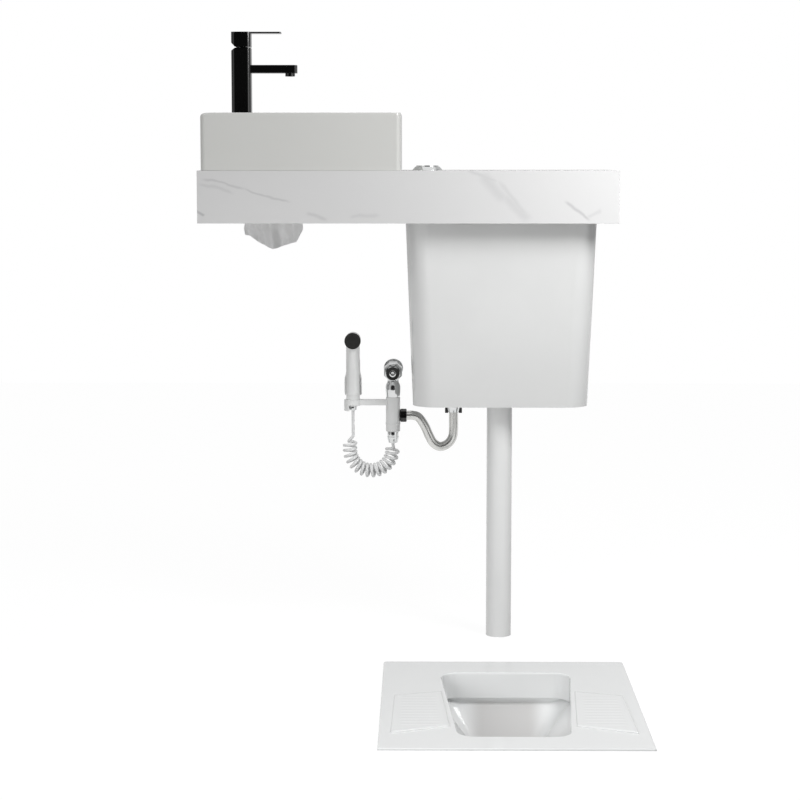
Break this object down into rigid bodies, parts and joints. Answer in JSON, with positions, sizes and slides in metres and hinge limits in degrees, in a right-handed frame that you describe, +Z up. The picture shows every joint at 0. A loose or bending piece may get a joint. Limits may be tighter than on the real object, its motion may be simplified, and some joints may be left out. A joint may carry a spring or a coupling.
{
  "type": "squat toilet with washbasin",
  "caption": "Wall-hung counter with a basin and mixer, a cistern with flush buttons and pipe, a floor squat pan and a hand spray.",
  "frame": {"origin": "middle of the two wall bolts of the cistern, on the wall face, 780 mm over the finished floor", "axes": "+X to the right along the wall, -Y into the room (the wall face is Y = 0), +Z up"},
  "size_m": [0.805, 0.847, 1.4],
  "materials": {
    "stone": "polished",
    "white_board": "satin",
    "steel": "brushed",
    "white_plastic": "gloss",
    "tissue": "soft",
    "basin_ceramic": "glazed",
    "pan_ceramic": "glazed",
    "chrome": "polished",
    "pipe_plastic": "satin",
    "black_metal": "satin black",
    "inner_plastic": "moulded",
    "float_plastic": "moulded",
    "brass": "turned",
    "braid": "braided",
    "rubber": "matte",
    "black_plastic": "satin",
    "hose_plastic": "gloss"
  },
  "bodies": {
    "root": {"counter_top": "stone", "front_apron": "stone", "side_aprons": "stone", "bottom_panel": "white_board", "wall_brackets": "steel", "tray_pins": "steel", "basin": "basin_ceramic", "drain_flange": "chrome", "waste_bend": "pipe_plastic", "mixer_body": "black_metal", "mixer_aerator": "black_metal", "mixer_cartridge": "inner_plastic", "cartridge_nut": "brass", "mixer_fixing": "steel", "supply_hoses": "braid", "cistern_tank": "white_plastic", "cistern_lid": "white_plastic", "button_bezel": "chrome", "full_button_spring": "steel", "half_button_spring": "steel", "rocker_bracket": "inner_plastic", "rocker_pin": "steel", "flush_tower": "inner_plastic", "fill_valve": "inner_plastic", "inlet_wing_nut": "chrome", "flush_pipe": "pipe_plastic", "floor_elbow": "pipe_plastic", "buried_pipe": "pipe_plastic", "inlet_cone": "rubber", "squat_pan": "pan_ceramic", "seals": "rubber", "back_nuts": "inner_plastic", "hose_nuts": "chrome", "stop_valve": "chrome", "wall_flange": "chrome", "diverter_body": "white_plastic", "spray_holder": "white_plastic", "braided_hose": "braid", "coil_hose": "hose_plastic"},
    "tray": {"tissue_tray": "white_plastic", "tissue_pack": "tissue", "tissue_sheet": "tissue"},
    "plug": {"drain_plug": "chrome"},
    "lever_turn": {"cartridge_spindle": "steel"},
    "lever": {"mixer_handle": "black_metal"},
    "full_button": {"full_button": "chrome"},
    "half_button": {"half_button": "chrome"},
    "full_rocker": {"full_rocker": "inner_plastic"},
    "half_rocker": {"half_rocker": "inner_plastic"},
    "stem": {"valve_stem": "inner_plastic", "stem_seal": "rubber"},
    "half_collar": {"half_collar": "inner_plastic"},
    "float": {"fill_float": "float_plastic"},
    "float_lever": {"float_lever": "float_plastic"},
    "knob": {"valve_knob": "chrome", "knob_ring": "black_plastic"},
    "spray": {"spray_body": "white_plastic", "spray_face": "black_plastic", "spray_nut": "chrome"},
    "trigger": {"spray_trigger": "white_plastic"}
  },
  "joints": [
    {"name": "tray_tip", "type": "hinge", "parent": "root", "child": "tray", "pos_m": [-0.442, -0.047, 0.049], "axis": [1, 0, 0], "range_deg": [0, 60]},
    {"name": "plug_lift", "type": "slide", "parent": "root", "child": "plug", "axis": [0, 0, 1], "range_m": [0, 0.008]},
    {"name": "lever_turn", "type": "hinge", "parent": "root", "child": "lever_turn", "pos_m": [-0.5035, -0.1095, 0.381], "axis": [0, 0, 1], "range_deg": [-45, 45]},
    {"name": "lever_lift", "type": "hinge", "parent": "lever_turn", "child": "lever", "pos_m": [-0.5095, -0.1095, 0.386], "axis": [0, -1, 0], "range_deg": [0, 18]},
    {"name": "full_push", "type": "slide", "parent": "root", "child": "full_button", "axis": [0, 0, -1], "range_m": [0, 0.008], "stiffness_N_per_m": 400, "springref_m": -0.004, "deforming": ["full_button_spring"]},
    {"name": "full_rock", "type": "hinge", "parent": "root", "child": "full_rocker", "pos_m": [-0.107, -0.105, 0.035], "axis": [0, -1, 0], "range_deg": [0, 12.6]},
    {"name": "valve_lift", "type": "slide", "parent": "root", "child": "stem", "axis": [0, 0, 1], "range_m": [0, 0.0241]},
    {"name": "half_push", "type": "slide", "parent": "root", "child": "half_button", "axis": [0, 0, -1], "range_m": [0, 0.008], "stiffness_N_per_m": 400, "springref_m": -0.004, "deforming": ["half_button_spring"]},
    {"name": "half_rock", "type": "hinge", "parent": "root", "child": "half_rocker", "pos_m": [-0.107, -0.105, 0.035], "axis": [0, -1, 0], "range_deg": [0, 12.6]},
    {"name": "half_lift", "type": "slide", "parent": "root", "child": "half_collar", "axis": [0, 0, 1], "range_m": [0, 0.0241]},
    {"name": "float_drop", "type": "slide", "parent": "root", "child": "float", "axis": [0, 0, -1], "range_m": [0, 0.01]},
    {"name": "float_lever_turn", "type": "hinge", "parent": "root", "child": "float_lever", "pos_m": [-0.09, -0.06, -0.044], "axis": [0, -1, 0], "range_deg": [0, 18.4]},
    {"name": "knob_turn", "type": "hinge", "parent": "root", "child": "knob", "pos_m": [-0.211, -0.082, -0.257], "axis": [0, -1, 0], "range_deg": [0, 90]},
    {"name": "spray_lift", "type": "slide", "parent": "root", "child": "spray", "axis": [0, 0, 1], "range_m": [0, 0.06], "deforming": ["coil_hose"]},
    {"name": "trigger_press", "type": "hinge", "parent": "spray", "child": "trigger", "pos_m": [-0.291, -0.0432, -0.224], "axis": [-1, 0, 0], "range_deg": [0, 5.5], "stiffness_Nm_per_rad": 0.2, "springref_deg": -5.73}
  ],
  "couplings": [
    {"joint": "full_rock", "follows": "full_push", "rad_per_m": 27.27},
    {"joint": "valve_lift", "follows": "full_push", "ratio": 3},
    {"joint": "half_rock", "follows": "half_push", "rad_per_m": 27.27},
    {"joint": "half_lift", "follows": "half_push", "ratio": 3},
    {"joint": "float_lever_turn", "follows": "float_drop", "rad_per_m": 32}
  ]
}
